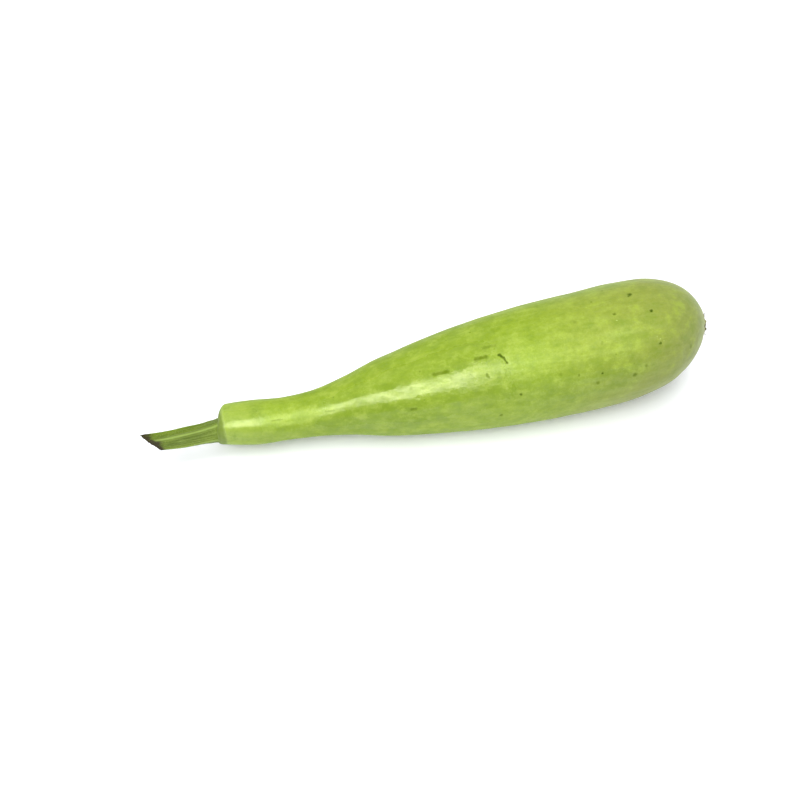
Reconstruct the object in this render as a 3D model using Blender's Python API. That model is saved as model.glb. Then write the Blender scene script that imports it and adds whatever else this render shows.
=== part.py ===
"""A young bottle gourd lying on its side: the fruit, its cut stem and the dried remains of its blossom.

Metres, +Z up, resting on z = 0. +X runs from the stem to the blossom end. The gourd is drawn with x measured
from the neck's end face, and is then moved sideways so that the origin is under the middle of the whole.
"""

import functools
import math

import bmesh
import bpy
from mathutils import Vector

# The fruit: its length, and its radius at distances from the neck's end face.
FRUIT_LENGTH = 0.2736
SHOULDER_LENGTH = 0.004
GIRTH = (
    (SHOULDER_LENGTH, 0.0112),
    (0.018, 0.0123),
    (0.036, 0.0117),
    (0.052, 0.0127),
    (0.070, 0.0160),
    (0.092, 0.0220),
    (0.115, 0.0262),
    (0.140, 0.0296),
    (0.170, 0.0323),
    (0.200, 0.0331),
    (0.229, 0.0326),
    (0.251, 0.0283),
    (0.263, 0.0213),
    (0.270, 0.0127),
    (FRUIT_LENGTH, 0.0),
)

# The fruit's middle line: how far it sways to the left, and its height, at the same distances.
SWAY = ((0.000, 0.0000), (0.022, -0.0033), (0.050, -0.0050), (0.095, -0.0044),
        (0.140, -0.0037), (0.185, -0.0024), (0.229, -0.0007), (0.255, 0.0004), (FRUIT_LENGTH, -0.0014))
RISE = ((0.000, 0.0197), (0.045, 0.0212), (0.092, 0.0252), (0.140, 0.0295),
        (0.175, 0.0320), (0.210, 0.0343), (0.245, 0.0388), (FRUIT_LENGTH, 0.0406))

# The skin is very slightly lobed: the count, share of the radius and phase of each wave, and their winding.
LOBES = ((3, 0.0060, 0.6), (5, 0.0035, 2.0))
LOBE_WINDING = 4.0
LOBE_FADE = 0.5

# The neck holds the stem's foot in a shallow socket, set low on its end face.
SOCKET_RADIUS = 0.0071
SOCKET_DEPTH = 0.0010
SOCKET_OFFSET = Vector((-0.0026, -0.0021))

# The blossom end holds the dried scar in a shallow dimple.
DIMPLE_RADIUS = 0.0061
DIMPLE_DEPTH = 0.0009

# Gap between pieces that meet.
GAP = 0.0003

# The stem: a fluted stalk that spreads into a foot, cut aslant at its tip.
STEM_GIRTH = ((0.000, SOCKET_RADIUS - GAP), (0.003, 0.0062), (0.008, 0.0055),
              (0.020, 0.0052), (0.030, 0.0047), (0.050, 0.0046))
STEM_SWAY = ((0.000, 0.0000), (0.018, -0.0008), (0.040, 0.0006))
STEM_DROP = 0.045
STEM_RIBS = 5
RIB_HEIGHT = 0.0009
RIB_ANGLE = math.radians(76)
RIB_TWIST = math.radians(-450)
RIB_RISE_LENGTH = 0.006
RIB_MEAN = 0.4
CUT_DISTANCE = 0.0378
CUT_DIRECTION = Vector((-0.69, -0.50, -0.53)).normalized()
CUT_RIM = 0.0008
CUT_HOLLOW = 0.0006

# The blossom scar: a corky disc with a raised ragged rim, the stub of the style and withered sepal tips.
SCAR_RADIUS = DIMPLE_RADIUS - GAP
SCAR_EDGE = DIMPLE_DEPTH
SCAR_DOME = 0.0008
WRINKLES = 7
WRINKLE_HEIGHT = 0.00012
RIM_RADIUS = 0.0046
RIM_WIDTH = 0.0008
RIM_HEIGHT = 0.0008
RIM_MEAN = 0.55
RIM_WAVES = ((5, 0.25, 0.7), (11, 0.20, 2.1))
STYLE_RADIUS = 0.0009
STYLE_HEIGHT = 0.0007
SEPAL_ANGLES = (41, 118, 172, 224, 305)
SEPAL_LENGTHS = (0.0021, 0.0015, 0.0018, 0.0017, 0.0014)
SEPAL_FOOT = 0.0043
SEPAL_LEAN = 0.45
SEPAL_CURL = 1.6
SEPAL_WIDTH = 0.0023
SEPAL_THICKNESS = 0.0013
SEPAL_TAPER = 0.5

# Colours as screen levels, and roughness.
FRUIT_COLOUR, FRUIT_ROUGHNESS = (169, 198, 74), 0.38
STEM_COLOUR, STEM_ROUGHNESS = (129, 153, 59), 0.55
SCAR_COLOUR, SCAR_ROUGHNESS = (124, 104, 62), 0.85

# How finely the surfaces are divided. The stem's rings crowd toward its foot by a power of their number.
FRUIT_SIDES = 48
FRUIT_RINGS = 60
SHOULDER_RINGS = 4
STEM_SIDES = 40
STEM_RINGS = 18
STEM_CROWDING = 1.3
SCAR_SIDES = 30
SCAR_RINGS = 9
SEPAL_SIDES = 6
SEPAL_RINGS = 5
SHARP_ANGLE = math.radians(40)

# How far apart two points of a middle line are for its direction, and how often each search is repeated.
DIRECTION_STEP = 0.0005
HALVINGS = 40
CUT_TRIES = 6
FINE_STEPS = 2000


def clear_scene():
    """Removes what the scene starts with."""
    for thing in list(bpy.data.objects):
        bpy.data.objects.remove(thing)


def linear(level):
    """Turns one screen colour level, 0 to 255, into the linear value that a shader takes."""
    share = level / 255
    return share / 12.92 if share <= 0.04045 else ((share + 0.055) / 1.055) ** 2.4


def plain_material(name, colour, roughness):
    """A material of one colour."""
    material = bpy.data.materials.new(name)
    material.use_nodes = True
    shader = material.node_tree.nodes["Principled BSDF"]
    shader.inputs["Base Color"].default_value = [linear(level) for level in colour] + [1]
    shader.inputs["Roughness"].default_value = roughness
    shader.inputs["Metallic"].default_value = 0
    return material


def gourd_skin():
    """The fruit's satin yellow-green skin."""
    return plain_material("gourd_skin", FRUIT_COLOUR, FRUIT_ROUGHNESS)


def stem_skin():
    """The stem's duller, darker green."""
    return plain_material("stem_skin", STEM_COLOUR, STEM_ROUGHNESS)


def dried_blossom():
    """The dry brown cork of the scar."""
    return plain_material("dried_blossom", SCAR_COLOUR, SCAR_ROUGHNESS)


def curve_through(points, where):
    """Reads a smooth curve through (position, value) points: a cubic on each stretch between two of them."""
    spans = [(b[0] - a[0], (b[1] - a[1]) / (b[0] - a[0])) for a, b in zip(points, points[1:])]
    index = 0
    while index < len(spans) - 1 and where > points[index + 1][0]:
        index += 1
    length, rise = spans[index]
    share = min(max((where - points[index][0]) / length, 0), 1)
    start = slope_at(spans, index) * length
    end = slope_at(spans, index + 1) * length
    change = rise * length
    cubic = (start + end - 2 * change) * share ** 3
    square = (3 * change - 2 * start - end) * share ** 2
    return points[index][1] + cubic + square + start * share


def slope_at(spans, index):
    """The slope at one point of such a curve, that of the parabola through it and its neighbours."""
    if index == 0:
        (near, rise), (far, next_rise) = spans[0], spans[1]
        return ((2 * near + far) * rise - near * next_rise) / (near + far)
    if index == len(spans):
        (near, rise), (far, next_rise) = spans[-1], spans[-2]
        return ((2 * near + far) * rise - near * next_rise) / (near + far)
    (before, rise_before), (after, rise_after) = spans[index - 1], spans[index]
    return (after * rise_before + before * rise_after) / (before + after)


def fruit_middle(distance):
    """The point of the fruit's middle line at a distance from the neck's end face."""
    return Vector((distance, curve_through(SWAY, distance), curve_through(RISE, distance)))


def fruit_axes(distance):
    """The directions along the fruit, to its left and up from it, at a distance from the neck's end face."""
    low = min(max(distance, 0), FRUIT_LENGTH - DIRECTION_STEP)
    return axes_of(fruit_middle(low + DIRECTION_STEP) - fruit_middle(low))


def axes_of(along):
    """The unit directions along, to the left of and up from a line."""
    along = along.normalized()
    left = Vector((0, 0, 1)).cross(along).normalized()
    return along, left, along.cross(left)


def fruit_point(distance, left_by, up_by):
    """A point beside the fruit's middle line."""
    along, left, up = fruit_axes(distance)
    return fruit_middle(distance) + left * left_by + up * up_by


def fruit_radius(distance):
    """The fruit's radius. Its square is what runs smoothly, and that rounds the blossom end."""
    squares = [(place, radius ** 2) for place, radius in GIRTH]
    return math.sqrt(max(curve_through(squares, distance), 0))


def lobed(angle, distance):
    """The share of its radius that the skin has at an angle round the fruit. Lobes fade out at both ends."""
    fade = math.sin(math.pi * distance / FRUIT_LENGTH) ** LOBE_FADE
    winding = LOBE_WINDING * distance
    waves = (depth * math.cos(count * angle + phase + winding) for count, depth, phase in LOBES)
    return 1 + fade * sum(waves)


def circle(sides):
    """The angles of a ring's points."""
    return [2 * math.pi * side / sides for side in range(sides)]


def shoulder_ring(share):
    """A ring of the neck's rounded shoulder, from the socket's rim at 0 to the full neck at 1."""
    turn = share * math.pi / 2
    distance = SHOULDER_LENGTH * (1 - math.cos(turn))
    ring = []
    for angle in circle(FRUIT_SIDES):
        outward = Vector((math.cos(angle), math.sin(angle)))
        rim = SOCKET_OFFSET + outward * SOCKET_RADIUS
        neck = outward * fruit_radius(SHOULDER_LENGTH)
        place = rim.lerp(neck, math.sin(turn))
        ring.append(fruit_point(distance, place.x, place.y))
    return ring


def socket_floor():
    """The ring round the flat floor of the stem's socket."""
    ring = []
    for angle in circle(FRUIT_SIDES):
        place = SOCKET_OFFSET + Vector((math.cos(angle), math.sin(angle))) * SOCKET_RADIUS
        ring.append(fruit_point(0, place.x, place.y) + fruit_axes(0)[0] * SOCKET_DEPTH)
    return ring


def body_ring(distance, radius=None):
    """A ring of the fruit, at its own radius or at a given one."""
    ring = []
    for angle in circle(FRUIT_SIDES):
        reach = radius or fruit_radius(distance) * lobed(angle, distance)
        ring.append(fruit_point(distance, reach * math.cos(angle), reach * math.sin(angle)))
    return ring


@functools.cache
def dimple_distance():
    """Where along the fruit its radius has shrunk to that of the blossom end's dimple."""
    low, high = GIRTH[-2][0], FRUIT_LENGTH
    for _ in range(HALVINGS):
        middle = (low + high) / 2
        if fruit_radius(middle) > DIMPLE_RADIUS:
            low = middle
        else:
            high = middle
    return low


def even_distances(start, end, count):
    """The distances that divide the skin from start to end into equal lengths, without start and end."""
    places = [start + (end - start) * step / FINE_STEPS for step in range(FINE_STEPS + 1)]
    radii = [fruit_radius(place) for place in places]
    lengths = [0]
    for step in range(FINE_STEPS):
        stretch = math.hypot(places[step + 1] - places[step], radii[step + 1] - radii[step])
        lengths.append(lengths[-1] + stretch)
    chosen = []
    for place, length in zip(places, lengths):
        if len(chosen) < count - 1 and length >= lengths[-1] * (len(chosen) + 1) / count:
            chosen.append(place)
    return chosen


def skin_over(name, rings, first, last, material):
    """Makes a closed smooth-shaded object from rings of points, with a fan to a middle point at each end."""
    mesh = bmesh.new()
    rows = [[mesh.verts.new(point) for point in ring] for ring in rings]
    sides = len(rows[0])
    for row, above in zip(rows, rows[1:]):
        for side in range(sides):
            following = (side + 1) % sides
            mesh.faces.new((row[side], row[following], above[following], above[side]))
    for middle, row in ((mesh.verts.new(first), rows[0]), (mesh.verts.new(last), rows[-1])):
        for side in range(sides):
            mesh.faces.new((middle, row[side], row[(side + 1) % sides]))
    bmesh.ops.recalc_face_normals(mesh, faces=mesh.faces)
    return finished(name, mesh, material)


def finished(name, mesh, material):
    """Puts a bmesh into the scene as a smooth-shaded object."""
    data = bpy.data.meshes.new(name)
    mesh.to_mesh(data)
    mesh.free()
    data.materials.append(material)
    data.shade_smooth()
    data.set_sharp_from_angle(angle=SHARP_ANGLE)
    thing = bpy.data.objects.new(name, data)
    bpy.context.scene.collection.objects.link(thing)
    return thing


def make_fruit():
    """The fruit, in one piece from the stem's socket to the scar's dimple, pressed flat where it lies."""
    end = dimple_distance()
    rings = [socket_floor()]
    rings += [shoulder_ring(step / SHOULDER_RINGS) for step in range(SHOULDER_RINGS + 1)]
    rings += [body_ring(distance) for distance in even_distances(SHOULDER_LENGTH, end, FRUIT_RINGS)]
    rings.append(body_ring(end, DIMPLE_RADIUS))
    sunk = fruit_axes(end)[0] * DIMPLE_DEPTH
    rings.append([point - sunk for point in rings[-1]])
    for ring in rings:
        for point in ring:
            point.z = max(point.z, 0)
    first = sum(rings[0], Vector()) / FRUIT_SIDES
    last = sum(rings[-1], Vector()) / FRUIT_SIDES
    return skin_over("fruit", rings, first, last, gourd_skin())


def stem_middle(distance):
    """The point of the stem's middle line at a distance from its foot, which stands in the socket."""
    along = fruit_axes(0)[0]
    foot = fruit_point(0, SOCKET_OFFSET.x, SOCKET_OFFSET.y) + along * (SOCKET_DEPTH - GAP)
    return foot + Vector((-distance, curve_through(STEM_SWAY, distance), -STEM_DROP * distance))


def stem_axes(distance):
    """The directions along the stem, to its left and up. At the foot they match the socket's."""
    free = min(distance / RIB_RISE_LENGTH, 1)
    line = stem_middle(distance + DIRECTION_STEP) - stem_middle(distance)
    return axes_of((-fruit_axes(0)[0]).lerp(line.normalized(), free))


def stem_reach(angle, distance):
    """How far the stem's skin is from its middle line. Ribs rise out of the round foot and wind a little."""
    along_ribs = STEM_RIBS * (angle - RIB_ANGLE - RIB_TWIST * distance)
    rib = (0.5 + 0.5 * math.cos(along_ribs)) ** 2
    grown = min(distance / RIB_RISE_LENGTH, 1)
    return curve_through(STEM_GIRTH, distance) + RIB_HEIGHT * grown * (rib - RIB_MEAN)


def stem_point(angle, distance, reach):
    """A point at an angle round the stem's middle line."""
    _, left, up = stem_axes(distance)
    return stem_middle(distance) + (left * math.cos(angle) + up * math.sin(angle)) * reach


def cut_distance(angle, reach):
    """How far along the stem a line on its skin meets the slanting cut."""
    cut_middle = stem_middle(CUT_DISTANCE)
    distance = CUT_DISTANCE
    for _ in range(CUT_TRIES):
        along = stem_axes(distance)[0]
        beyond = (stem_point(angle, distance, reach) - cut_middle).dot(CUT_DIRECTION)
        distance -= beyond / along.dot(CUT_DIRECTION)
    return distance


def make_stem():
    """The cut stem, from its foot in the neck's socket to the slanting cut, which has dried hollow."""
    rings = []
    for step in range(STEM_RINGS + 1):
        share = (step / STEM_RINGS) ** STEM_CROWDING
        ring = []
        for angle in circle(STEM_SIDES):
            end = cut_distance(angle, stem_reach(angle, CUT_DISTANCE))
            distance = end * share
            ring.append(stem_point(angle, distance, stem_reach(angle, distance)))
        rings.append(ring)
    cut_middle = stem_middle(CUT_DISTANCE)
    sunk = CUT_DIRECTION * CUT_HOLLOW
    rim = []
    for point in rings[-1]:
        point -= CUT_DIRECTION * (point - cut_middle).dot(CUT_DIRECTION)
        inward = cut_middle - point
        rim.append(point + inward.normalized() * CUT_RIM - sunk * 0.5)
    rings.append(rim)
    return skin_over("stem", rings, stem_middle(0), cut_middle - sunk, stem_skin())


def scar_height(reach, angle):
    """The scar's height above its own edge: a low dome, a ragged raised rim and the stub of the style."""
    dome = SCAR_DOME * (1 - (reach / SCAR_RADIUS) ** 2)
    ragged = RIM_MEAN + sum(depth * math.cos(count * angle + phase) for count, depth, phase in RIM_WAVES)
    rim = RIM_HEIGHT * ragged * math.exp(-((reach - RIM_RADIUS) / RIM_WIDTH) ** 2)
    style = STYLE_HEIGHT * math.exp(-(reach / STYLE_RADIUS) ** 2)
    wrinkle = WRINKLE_HEIGHT * math.sin(WRINKLES * angle) * reach / SCAR_RADIUS
    return dome + rim + style + wrinkle


def scar_point(reach, angle, height):
    """A point over the floor of the dimple."""
    end = dimple_distance()
    along, left, up = fruit_axes(end)
    floor = fruit_middle(end) - along * (DIMPLE_DEPTH - GAP)
    return floor + (left * math.cos(angle) + up * math.sin(angle)) * reach + along * height


def make_scar_disc(material):
    """The corky disc of the scar, standing in the dimple."""
    rings = [[scar_point(SCAR_RADIUS, angle, 0) for angle in circle(SCAR_SIDES)]]
    for step in range(SCAR_RINGS):
        reach = SCAR_RADIUS * (1 - step / SCAR_RINGS)
        heights = [(angle, SCAR_EDGE + scar_height(reach, angle)) for angle in circle(SCAR_SIDES)]
        rings.append([scar_point(reach, angle, height) for angle, height in heights])
    top = scar_point(0, 0, SCAR_EDGE + scar_height(0, 0))
    return skin_over("blossom_scar", rings, scar_point(0, 0, 0), top, material)


def make_sepal(number, angle, length, material):
    """A withered sepal tip: a flat tapering finger that stands on the scar's rim and leans outward."""
    rings = []
    for step in range(SEPAL_RINGS):
        share = step / (SEPAL_RINGS - 1)
        reach = SEPAL_FOOT + length * SEPAL_LEAN * share ** SEPAL_CURL
        height = SCAR_EDGE - GAP + length * share
        taper = 1 - SEPAL_TAPER * share
        ring = []
        for turn in circle(SEPAL_SIDES):
            outward = reach + SEPAL_THICKNESS / 2 * taper * math.cos(turn)
            sideways = SEPAL_WIDTH / 2 * taper * math.sin(turn)
            turned = angle + math.atan2(sideways, outward)
            ring.append(scar_point(math.hypot(outward, sideways), turned, height))
        rings.append(ring)
    foot = sum(rings[0], Vector()) / SEPAL_SIDES
    tip = sum(rings[-1], Vector()) / SEPAL_SIDES
    return skin_over(f"sepal_{number}", rings, foot, tip, material)


def make_scar():
    """The scar's disc and its sepal tips, joined into one body."""
    material = dried_blossom()
    disc = make_scar_disc(material)
    sepals = bpy.data.collections.new("sepals")
    for number, (degrees, length) in enumerate(zip(SEPAL_ANGLES, SEPAL_LENGTHS)):
        sepal = make_sepal(number, math.radians(degrees), length, material)
        bpy.context.scene.collection.objects.unlink(sepal)
        sepals.objects.link(sepal)
    bpy.context.scene.collection.children.link(sepals)
    join = disc.modifiers.new("join_sepals", "BOOLEAN")
    join.operation = "UNION"
    join.operand_type = "COLLECTION"
    join.collection = sepals
    join.solver = "EXACT"
    bpy.context.view_layer.update()
    joined = bpy.data.meshes.new_from_object(disc.evaluated_get(bpy.context.evaluated_depsgraph_get()))
    disc.modifiers.clear()
    disc.data = joined
    for sepal in list(sepals.objects):
        bpy.data.objects.remove(sepal)
    bpy.data.collections.remove(sepals)
    return disc


def centre_over_origin(things):
    """Moves the gourd sideways so that the origin lies under the middle of its bounding box."""
    corners = [vertex.co for thing in things for vertex in thing.data.vertices]
    middle_x = (min(corner.x for corner in corners) + max(corner.x for corner in corners)) / 2
    middle_y = (min(corner.y for corner in corners) + max(corner.y for corner in corners)) / 2
    for thing in things:
        for vertex in thing.data.vertices:
            vertex.co.x -= middle_x
            vertex.co.y -= middle_y


def main():
    clear_scene()
    centre_over_origin([make_fruit(), make_stem(), make_scar()])


main()
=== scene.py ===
"""Looks for the young bottle gourd: fine skin, stem and blossom scar over the solids, and a pale studio.

Metres, in the row frame. A point of the gourd is given by its distance from the neck's end face and its angle
round the middle line, counted from the left side over the top, as in the solids.
"""

import math

import bpy
import numpy as np
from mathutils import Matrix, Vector


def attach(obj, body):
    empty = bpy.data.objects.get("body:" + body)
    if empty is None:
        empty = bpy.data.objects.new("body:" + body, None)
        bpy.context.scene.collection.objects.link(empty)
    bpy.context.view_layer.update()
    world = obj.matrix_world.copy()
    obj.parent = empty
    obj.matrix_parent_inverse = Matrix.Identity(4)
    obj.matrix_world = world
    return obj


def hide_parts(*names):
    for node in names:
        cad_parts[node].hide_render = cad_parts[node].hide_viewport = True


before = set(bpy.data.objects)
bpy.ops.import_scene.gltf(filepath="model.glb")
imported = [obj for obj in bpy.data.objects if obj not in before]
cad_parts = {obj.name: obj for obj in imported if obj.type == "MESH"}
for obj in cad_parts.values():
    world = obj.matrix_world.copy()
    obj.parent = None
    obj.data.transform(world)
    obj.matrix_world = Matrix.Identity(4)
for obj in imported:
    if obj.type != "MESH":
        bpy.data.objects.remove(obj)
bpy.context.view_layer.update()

SEED = 20

# Directions along a middle line are taken over this length.
DIRECTION_STEP = 0.0005

# The fruit's form, as in the solids: curves of (distance, value) points, and lobes round it with their count,
# share of the radius and phase.
FRUIT_LENGTH = 0.2736
SHOULDER_LENGTH = 0.004
GIRTH = ((SHOULDER_LENGTH, 0.0112), (0.018, 0.0123), (0.036, 0.0117), (0.052, 0.0127), (0.070, 0.0160),
         (0.092, 0.0220), (0.115, 0.0262), (0.140, 0.0296), (0.170, 0.0323), (0.200, 0.0331),
         (0.229, 0.0326), (0.251, 0.0283), (0.263, 0.0213), (0.270, 0.0127), (FRUIT_LENGTH, 0.0))
SWAY = ((0.000, 0.0000), (0.022, -0.0033), (0.050, -0.0050), (0.095, -0.0044),
        (0.140, -0.0037), (0.185, -0.0024), (0.229, -0.0007), (0.255, 0.0004), (FRUIT_LENGTH, -0.0014))
RISE = ((0.000, 0.0197), (0.045, 0.0212), (0.092, 0.0252), (0.140, 0.0295),
        (0.175, 0.0320), (0.210, 0.0343), (0.245, 0.0388), (FRUIT_LENGTH, 0.0406))
LOBES = ((3, 0.0060, 0.6), (5, 0.0035, 2.0))
LOBE_WINDING = 4.0
LOBE_FADE = 0.5
SOCKET_RADIUS = 0.0071
SOCKET_DEPTH = 0.0010
SOCKET_OFFSET = (-0.0026, -0.0021)
DIMPLE_RADIUS = 0.0061
DIMPLE_DEPTH = 0.0009
GAP = 0.0003

# The stem's form, as in the solids.
STEM_GIRTH = ((0.000, SOCKET_RADIUS - GAP), (0.003, 0.0062), (0.008, 0.0055),
              (0.020, 0.0052), (0.030, 0.0047), (0.050, 0.0046))
STEM_SWAY = ((0.000, 0.0000), (0.018, -0.0008), (0.040, 0.0006))
STEM_DROP = 0.045
STEM_RIBS = 5
RIB_HEIGHT = 0.0009
RIB_ANGLE = math.radians(76)
RIB_TWIST = math.radians(-450)
RIB_RISE_LENGTH = 0.006
RIB_MEAN = 0.4
CUT_DISTANCE = 0.0378
CUT_DIRECTION = np.array((-0.69, -0.50, -0.53)) / np.linalg.norm((-0.69, -0.50, -0.53))

# The scar's form, as in the solids.
SCAR_RADIUS = DIMPLE_RADIUS - GAP
SCAR_DOME = 0.0008
RIM_RADIUS = 0.0046
RIM_WIDTH = 0.0008
RIM_HEIGHT = 0.0008
RIM_MEAN = 0.55
RIM_WAVES = ((5, 0.25, 0.7), (11, 0.20, 2.1))
STYLE_RADIUS = 0.0009
STYLE_HEIGHT = 0.0007
SEPAL_ANGLES = (41, 118, 172, 224, 305)
SEPAL_LENGTHS = (0.0021, 0.0015, 0.0018, 0.0017, 0.0014)

# The camera: azimuth and elevation from which it looks, its distance and what it looks at.
CAMERA_AZIMUTH = math.radians(-12)
CAMERA_ELEVATION = math.radians(50)
CAMERA_DISTANCE = 0.64
CAMERA_TARGET = Vector((-0.01349, 0.01402, 0))
CAMERA_LENS = 50
CAMERA_SENSOR = 36
CAMERA_NEAR = 0.01


def curve(points, where):
    """The smooth curve through (position, value) points at an array of positions: cubic on each stretch."""
    at, value = np.array(points, float).T
    gaps = np.diff(at)
    rises = np.diff(value) / gaps
    slopes = np.empty(len(at))
    slopes[1:-1] = (gaps[1:] * rises[:-1] + gaps[:-1] * rises[1:]) / (gaps[:-1] + gaps[1:])
    slopes[0] = ((2 * gaps[0] + gaps[1]) * rises[0] - gaps[0] * rises[1]) / (gaps[0] + gaps[1])
    slopes[-1] = ((2 * gaps[-1] + gaps[-2]) * rises[-1] - gaps[-1] * rises[-2]) / (gaps[-1] + gaps[-2])
    index = np.clip(np.searchsorted(at, where) - 1, 0, len(gaps) - 1)
    share = np.clip((where - at[index]) / gaps[index], 0, 1)
    start = slopes[index] * gaps[index]
    end = slopes[index + 1] * gaps[index]
    change = rises[index] * gaps[index]
    cubic = (start + end - 2 * change) * share ** 3
    return value[index] + cubic + (3 * change - 2 * start - end) * share ** 2 + start * share


def unit(vectors):
    """Vectors of length one."""
    return vectors / np.linalg.norm(vectors, axis=-1, keepdims=True)


def axes_of(along):
    """The unit directions along, to the left of and up from each of an array of lines."""
    along = unit(along)
    left = unit(np.cross((0.0, 0.0, 1.0), along))
    return along, left, np.cross(along, left)


def smooth_step(low, high, value):
    """0 below low, 1 above high and smooth between them. Runs down if high is the lower."""
    share = np.clip((value - low) / (high - low), 0, 1)
    return share * share * (3 - 2 * share)


def fruit_middle(distance):
    distance = np.asarray(distance, float)
    return np.stack((distance, curve(SWAY, distance), curve(RISE, distance)), -1)


def fruit_axes(distance):
    low = np.clip(distance, 0, FRUIT_LENGTH - DIRECTION_STEP)
    return axes_of(fruit_middle(low + DIRECTION_STEP) - fruit_middle(low))


def fruit_radius(distance):
    squares = [(place, radius ** 2) for place, radius in GIRTH]
    return np.sqrt(np.maximum(curve(squares, distance), 0))


def lobed(angle, distance):
    fade = np.sin(np.pi * np.clip(distance / FRUIT_LENGTH, 0, 1)) ** LOBE_FADE
    waves = sum(depth * np.cos(count * angle + phase + LOBE_WINDING * distance)
                for count, depth, phase in LOBES)
    return 1 + fade * waves


def fruit_point(distance, left_by, up_by):
    _, left, up = fruit_axes(distance)
    return fruit_middle(distance) + left * left_by[..., None] + up * up_by[..., None]


def skin_point(distance, angle):
    """The point of the fruit's skin in the drawing's frame, without its fine relief."""
    reach = fruit_radius(distance) * lobed(angle, distance)
    return fruit_point(distance, reach * np.cos(angle), reach * np.sin(angle))


def ring_angles(sides):
    return 2 * np.pi * np.arange(sides) / sides


def turned_by(angle, left, up):
    """The directions at an angle from left toward up."""
    return left * np.cos(angle)[..., None] + up * np.sin(angle)[..., None]


def waves_round(waves, angle):
    """The sum of waves round a ring: each has a count, a height and a phase."""
    return sum(height * np.cos(count * angle + phase) for count, height, phase in waves)


class Waves:
    """A smooth random field: many sine waves of about one length, in random directions."""

    COUNT = 14

    def __init__(self, draw, length, stretch=1.0):
        directions = unit(draw.normal(size=(self.COUNT, 3)))
        self.vectors = directions * (2 * np.pi / length) * draw.uniform(0.7, 1.3, (self.COUNT, 1))
        self.vectors[:, 0] /= stretch
        self.phases = draw.uniform(0, 2 * np.pi, self.COUNT)

    def at(self, points):
        """The field at an array of points, mostly between -1 and 1."""
        return np.cos(points @ self.vectors.T + self.phases).sum(-1) / math.sqrt(self.COUNT)


def grid_mesh(name, rows, first, last):
    """A smooth closed object from rows of ring points, with a fan at each end."""
    count, sides = rows.shape[:2]
    points = np.concatenate((rows.reshape(-1, 3), [first, last]))
    side = np.arange(sides)
    following = (side + 1) % sides
    faces = []
    for row in range(count - 1):
        low, high = row * sides, (row + 1) * sides
        faces.append(np.stack((low + side, low + following, high + following, high + side), -1))
    quads = np.concatenate(faces)
    start = np.stack((np.full(sides, count * sides), following, side), -1)
    end = np.stack((np.full(sides, count * sides + 1), (count - 1) * sides + side,
                    (count - 1) * sides + following), -1)
    return mesh_object(name, points, quads, np.concatenate((start, end)))


def mesh_object(name, points, quads, triangles):
    """A smooth-shaded object from points, four-sided faces and three-sided faces."""
    data = bpy.data.meshes.new(name)
    data.from_pydata(points.tolist(), [], quads.tolist() + triangles.tolist())
    data.validate()
    data.shade_smooth()
    thing = bpy.data.objects.new(name, data)
    bpy.context.scene.collection.objects.link(thing)
    return thing


def keep_values(thing, name, values):
    """Stores a number for each point of the mesh, for its material to read."""
    layer = thing.data.attributes.new(name, "FLOAT", "POINT")
    layer.data.foreach_set("value", np.asarray(values, np.float32).ravel())


def linear(level):
    """Turns one screen colour level, 0 to 255, into the linear value that a shader takes."""
    share = level / 255
    return share / 12.92 if share <= 0.04045 else ((share + 0.055) / 1.055) ** 2.4


def colour(red, green, blue):
    return [linear(red), linear(green), linear(blue), 1]


# Where things are on the fruit.

# From the drawing's frame to the row frame.
ROW_SHIFT = np.array((-0.11630, 0.00166, 0.0))

# Marks on the skin: distance from the neck's end in mm, angle in degrees, radius in mm and strength.
DARK_SPOTS = ((231.6, 84.3, 1.9, 0.90), (230.6, 86.3, 1.2, 0.70), (237.6, 108.4, 1.4, 0.95),
              (218.7, 102.7, 1.3, 0.65), (237.3, 141.6, 1.3, 1.00), (221.5, 164.8, 2.0, 0.55),
              (203.3, 153.9, 1.1, 0.85), (200.3, 163.1, 1.8, 0.45), (190.2, 150.4, 1.1, 0.50),
              (180.8, 146.1, 1.4, 0.28), (158.7, 158.2, 1.3, 0.80), (147.7, 179.8, 1.4, 0.60),
              (228.2, 159.2, 1.6, 0.35), (206.1, 126.0, 1.4, 0.25), (195.0, 100.5, 1.8, 0.22),
              (258.3, 160.4, 2.0, 0.35), (240.4, 152.0, 3.5, 0.16))
PALE_SPOTS = ((218.4, 109.5, 0.70, 0.75), (236.4, 134.5, 0.50, 0.60), (237.6, 137.6, 0.50, 0.60),
              (239.4, 140.5, 0.50, 0.55))
# Scratches: where each starts and ends, radius in mm and strength.
SCRATCHES = (((151.6, 114.0), (153.4, 118.0), 1.15, 0.90), ((153.4, 118.0), (154.5, 124.0), 0.85, 0.80),
             ((139.6, 113.0), (144.9, 113.1), 1.70, 0.45), ((144.8, 102.9), (151.0, 103.8), 1.40, 0.25),
             ((117.1, 117.0), (123.8, 117.7), 1.60, 0.45), ((101.4, 152.8), (104.2, 153.3), 1.10, 0.50),
             ((28.9, 130.3), (34.1, 131.2), 0.68, 0.30), ((57.8, 130.2), (62.0, 131.6), 0.68, 0.28),
             ((143.1, 131.0), (143.9, 133.5), 1.27, 0.40))


def on_skin(distance, angle):
    """The point of the row frame at a distance in mm and an angle in degrees."""
    return skin_point(np.array([distance / 1000]), np.radians(angle))[0] + ROW_SHIFT


# The dimple and its scar lie where the blossom end has narrowed to the dimple's radius.
BLOSSOM_END = np.linspace(0.26, FRUIT_LENGTH, 4000)
SCAR_DISTANCE = float(np.interp(-DIMPLE_RADIUS, -fruit_radius(BLOSSOM_END), BLOSSOM_END))
SCAR_MIDDLE = fruit_middle([SCAR_DISTANCE])[0] + ROW_SHIFT
SCAR_AXES = [axis[0] for axis in fruit_axes(np.array([SCAR_DISTANCE]))]


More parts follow.
